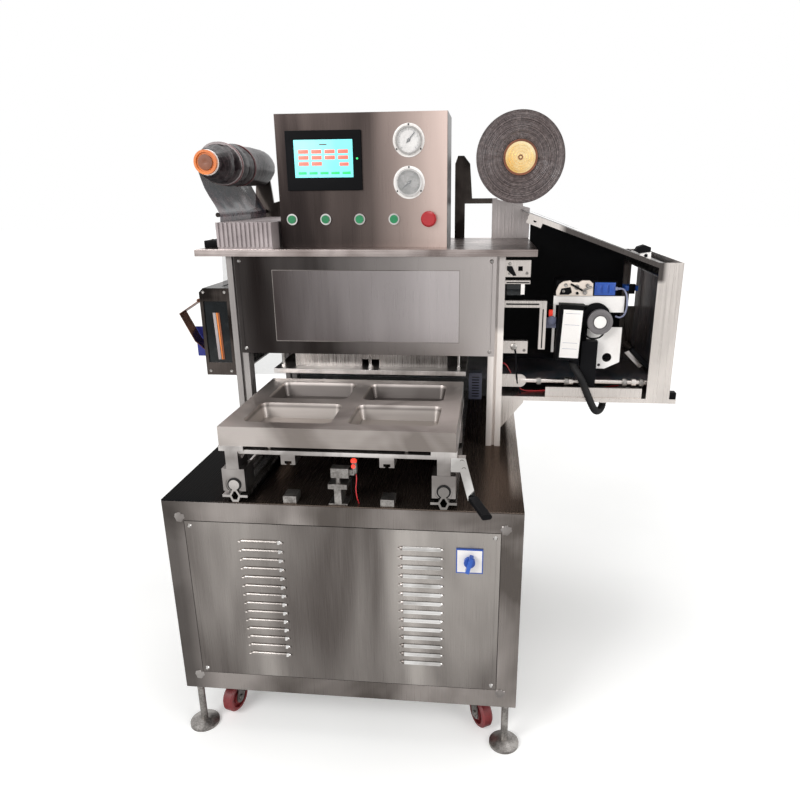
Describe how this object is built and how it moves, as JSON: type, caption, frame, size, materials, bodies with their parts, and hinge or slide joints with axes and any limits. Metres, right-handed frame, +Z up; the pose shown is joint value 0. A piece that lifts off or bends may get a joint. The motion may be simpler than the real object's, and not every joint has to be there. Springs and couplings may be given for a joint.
{
  "type": "tray sealer",
  "caption": "Drawer-type tray sealing machine: cabinet on levelling feet and casters, sliding pocketed mould, hooded sealing head, control box, film rolls and a side wing with a coder.",
  "frame": {"origin": "middle of the whole footprint, on the floor under the levelling feet", "axes": "+X to the machine's right seen from its front, +Y to its back, +Z up"},
  "size_m": [1.368, 1.0244, 1.547],
  "materials": {
    "frame_steel": "brushed",
    "panel_steel": "satin",
    "table_steel": "brushed",
    "aluminium": "satin",
    "cast_mould": "machined",
    "chrome": "polished",
    "zinc": "zinc plated",
    "white_paint": "satin",
    "black_paint": "satin",
    "red_polymer": "matt",
    "blue_plastic": "gloss",
    "black_plastic": "matt",
    "grey_plastic": "matt",
    "green_plastic": "gloss",
    "red_plastic": "gloss",
    "orange_plastic": "satin",
    "smoked_acrylic": "gloss",
    "film_roll": "satin",
    "film_clear": "clear",
    "brass": "machined",
    "gold_anodised": "anodised",
    "blue_paint": "gloss",
    "rubber": "matt"
  },
  "bodies": {
    "machine": {"base_frame": "frame_steel", "table_top": "table_steel", "front_panel": "panel_steel", "cabinet_panels": "panel_steel", "panel_screws": "zinc", "isolator_plate": "white_paint", "levelling_feet": "chrome", "caster_mounts": "zinc", "rails": "aluminium", "table_stops": "aluminium", "uprights": "aluminium", "top_shelf": "panel_steel", "hood_panel": "panel_steel", "smoked_covers": "smoked_acrylic", "head_bridge": "aluminium", "head_cylinder": "aluminium", "control_box": "panel_steel", "hmi_panel": "black_plastic", "gauges": "black_paint", "button_collars": "chrome", "roll_brackets": "panel_steel", "film_web": "film_clear", "wing_frame": "panel_steel", "wing_back": "smoked_acrylic", "coder_plate": "white_paint", "coder_body": "black_paint", "coder_hose": "rubber", "pull_frame": "panel_steel", "pull_motor": "blue_paint", "ribbed_box": "panel_steel"},
    "isolator": {"isolator_knob": "blue_plastic"},
    "caster_left": {"caster_fork_left": "zinc"},
    "caster_right": {"caster_fork_right": "zinc"},
    "wheel_left": {"wheel_front_left": "red_polymer"},
    "wheel_right": {"wheel_front_right": "red_polymer"},
    "wheels_rear": {"rear_wheels": "red_polymer"},
    "carriage": {"bearing_blocks": "aluminium", "carriage_frame": "aluminium", "mould": "cast_mould", "mould_fittings": "brass", "pull_handle": "aluminium", "handle_grip": "black_plastic"},
    "head": {"head_columns": "chrome", "heater_blocks": "aluminium", "film_frame": "aluminium"},
    "upper_needle": {"needle_upper": "black_paint"},
    "lower_needle": {"needle_lower": "black_paint"},
    "push_1": {"button_1": "green_plastic"},
    "push_2": {"button_2": "green_plastic"},
    "push_3": {"button_3": "green_plastic"},
    "push_4": {"button_4": "green_plastic"},
    "stop": {"stop_button": "red_plastic"},
    "supply_roll": {"supply_film": "film_roll", "supply_shaft": "gold_anodised"},
    "take_up_roll": {"scrap_film": "film_roll", "take_up_shaft": "orange_plastic"},
    "turning_roller": {"turn_roller": "chrome"},
    "pull_roller": {"draw_roller": "rubber"},
    "print_knob": {"coder_knob": "grey_plastic"},
    "guard": {"belt_guard": "smoked_acrylic"}
  },
  "joints": [
    {"name": "carriage_slide", "type": "slide", "parent": "machine", "child": "carriage", "axis": [0, 1, 0], "range_m": [0, 0.446]},
    {"name": "head_lift", "type": "slide", "parent": "machine", "child": "head", "axis": [0, 0, -1], "range_m": [0, 0.008]},
    {"name": "isolator_turn", "type": "hinge", "parent": "machine", "child": "isolator", "pos_m": [0.147, -0.42583, 0.544], "axis": [0, 1, 0], "range_deg": [0, 90]},
    {"name": "swivel_left", "type": "hinge", "parent": "machine", "child": "caster_left", "pos_m": [-0.482, -0.31583, 0.1], "axis": [0, 0, 1], "continuous": true},
    {"name": "swivel_right", "type": "hinge", "parent": "machine", "child": "caster_right", "pos_m": [0.168, -0.31583, 0.1], "axis": [0, 0, 1], "continuous": true},
    {"name": "wheel_left_spin", "type": "hinge", "parent": "caster_left", "child": "wheel_left", "pos_m": [-0.48977, -0.3448, 0.044], "axis": [0.9659, -0.2588, 0], "continuous": true},
    {"name": "wheel_right_spin", "type": "hinge", "parent": "caster_right", "child": "wheel_right", "pos_m": [0.183, -0.34181, 0.044], "axis": [0.866, 0.5, 0], "continuous": true},
    {"name": "rear_wheels_spin", "type": "hinge", "parent": "machine", "child": "wheels_rear", "pos_m": [-0.157, 0.41418, 0.044], "axis": [1, 0, 0], "continuous": true},
    {"name": "upper_needle_turn", "type": "hinge", "parent": "machine", "child": "upper_needle", "pos_m": [-0.037, 0.03918, 1.479], "axis": [0, 1, 0], "range_deg": [-175, 95]},
    {"name": "lower_needle_turn", "type": "hinge", "parent": "machine", "child": "lower_needle", "pos_m": [-0.037, 0.03918, 1.377], "axis": [0, 1, 0], "range_deg": [-5, 265]},
    {"name": "button_1_press", "type": "slide", "parent": "machine", "child": "push_1", "axis": [0, 1, 0], "range_m": [0, 0.004], "stiffness_N_per_m": 600},
    {"name": "button_2_press", "type": "slide", "parent": "machine", "child": "push_2", "axis": [0, 1, 0], "range_m": [0, 0.004], "stiffness_N_per_m": 600},
    {"name": "button_3_press", "type": "slide", "parent": "machine", "child": "push_3", "axis": [0, 1, 0], "range_m": [0, 0.004], "stiffness_N_per_m": 600},
    {"name": "button_4_press", "type": "slide", "parent": "machine", "child": "push_4", "axis": [0, 1, 0], "range_m": [0, 0.004], "stiffness_N_per_m": 600},
    {"name": "stop_press", "type": "slide", "parent": "machine", "child": "stop", "axis": [0, 1, 0], "range_m": [0, 0.004], "stiffness_N_per_m": 1500},
    {"name": "supply_spin", "type": "hinge", "parent": "machine", "child": "supply_roll", "pos_m": [0.246, 0.22917, 1.433], "axis": [0, 1, 0], "continuous": true},
    {"name": "take_up_spin", "type": "hinge", "parent": "machine", "child": "take_up_roll", "pos_m": [-0.563, 0.22917, 1.431], "axis": [0, 1, 0], "continuous": true},
    {"name": "turn_roller_spin", "type": "hinge", "parent": "machine", "child": "turning_roller", "pos_m": [0.625, 0.22418, 1.1538], "axis": [0, 1, 0], "continuous": true},
    {"name": "draw_roller_spin", "type": "hinge", "parent": "machine", "child": "pull_roller", "pos_m": [-0.545, 0.22418, 0.8859], "axis": [0, 1, 0], "continuous": true},
    {"name": "print_knob_turn", "type": "hinge", "parent": "machine", "child": "print_knob", "pos_m": [0.471, 0.01918, 1.023], "axis": [0, 1, 0], "continuous": true},
    {"name": "guard_lift", "type": "hinge", "parent": "machine", "child": "guard", "pos_m": [-0.624, 0.02117, 1.073], "axis": [0, 1, 0], "range_deg": [0, 60]}
  ],
  "couplings": [
    {"joint": "take_up_spin", "follows": "supply_spin", "ratio": -1.8897},
    {"joint": "turn_roller_spin", "follows": "supply_spin", "ratio": -5.401},
    {"joint": "draw_roller_spin", "follows": "supply_spin", "ratio": -3.6273}
  ]
}
